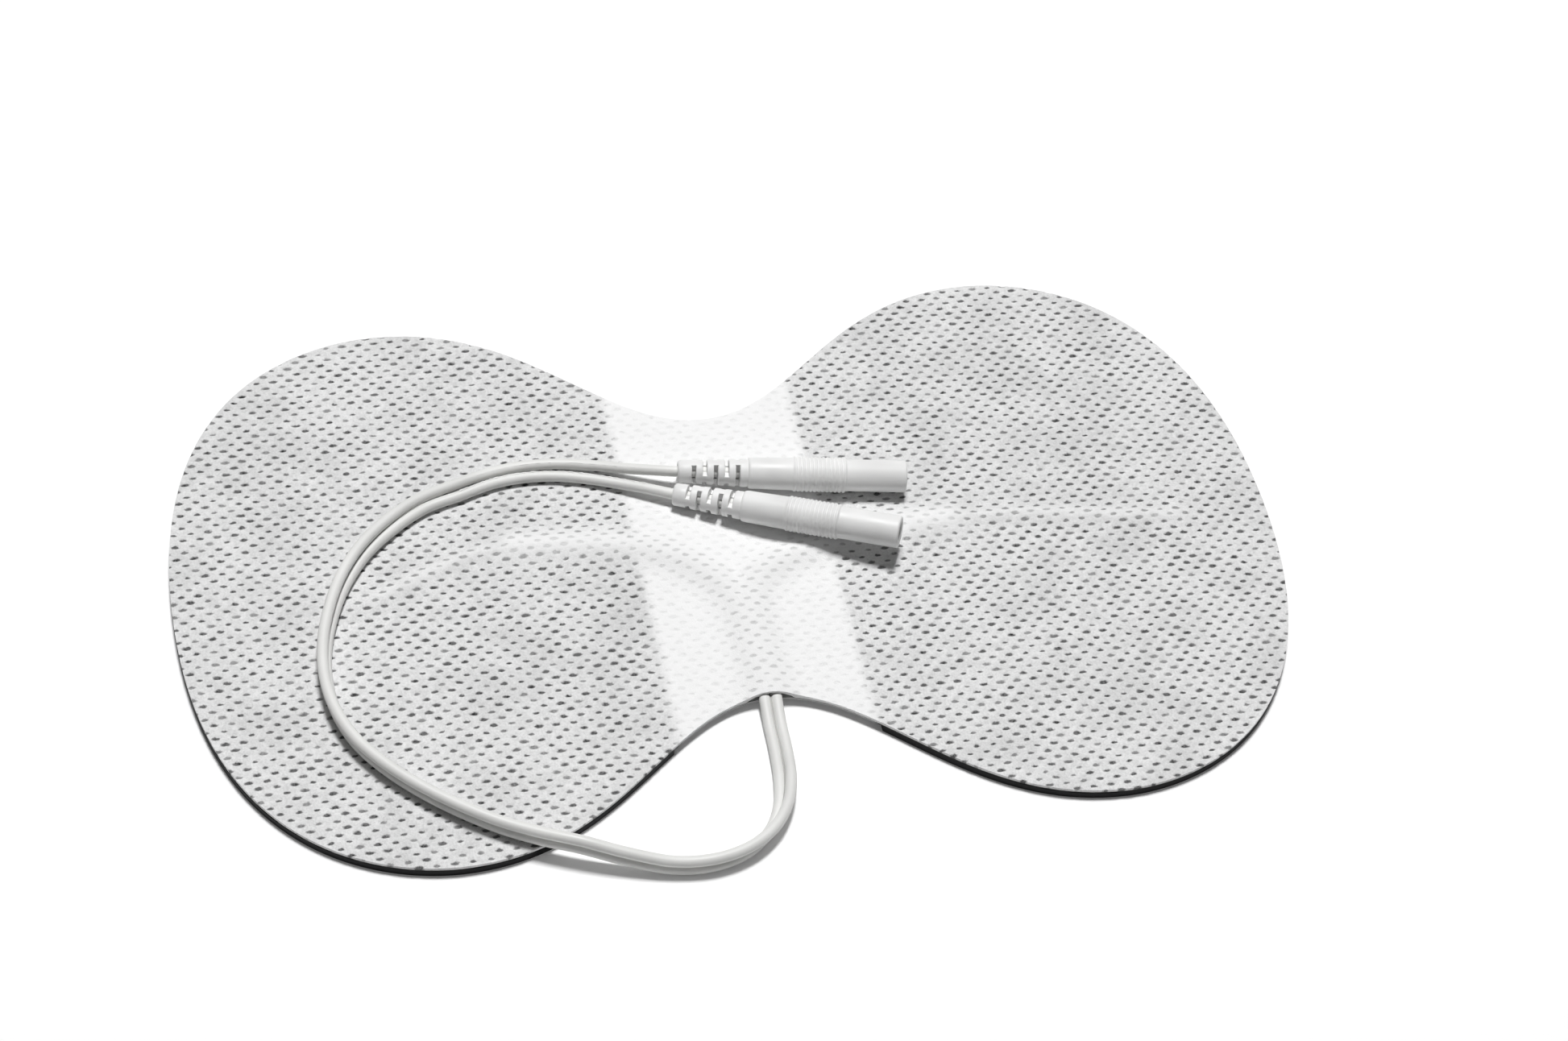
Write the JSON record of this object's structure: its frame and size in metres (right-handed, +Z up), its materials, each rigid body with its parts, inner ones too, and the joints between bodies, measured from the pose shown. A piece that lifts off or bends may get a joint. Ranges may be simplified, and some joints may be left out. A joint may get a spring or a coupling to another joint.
{
  "type": "tens electrode pad",
  "caption": "Flat butterfly-shaped self-adhesive electrode pad for nerve stimulation, with a twin lead from its waist that ends in pin-socket connectors",
  "frame": {"origin": "under the middle of the pad, on the skin side, which is the surface it lies on", "axes": "+X along the pad's length, +Y across its waist away from the side where the lead leaves, +Z up through the layers from the skin side to the fabric"},
  "size_m": [0.15, 0.0955, 0.0083],
  "materials": {
    "fabric": "white nonwoven, embossed with small dimples, grey where the film shows",
    "strip": "matt white",
    "film": "matt black, carbon-filled",
    "gel": "smooth and tacky, looks dark over the black film",
    "wire": "warm white, satin gloss",
    "housing": "white, soft sheen",
    "metal": "plated"
  },
  "bodies": {
    "root": {"backing_fabric": "fabric", "waist_strip": "strip", "carbon_film_left": "film", "carbon_film_right": "film", "gel_left": "gel", "gel_right": "gel", "inner_lead_left": "wire", "inner_lead_right": "wire", "conductor_left": "metal", "conductor_right": "metal", "lead_wire_left": "wire", "lead_wire_right": "wire", "connector_housing_left": "housing", "connector_housing_right": "housing", "socket_contact_left": "metal", "socket_contact_right": "metal"}
  },
  "joints": []
}
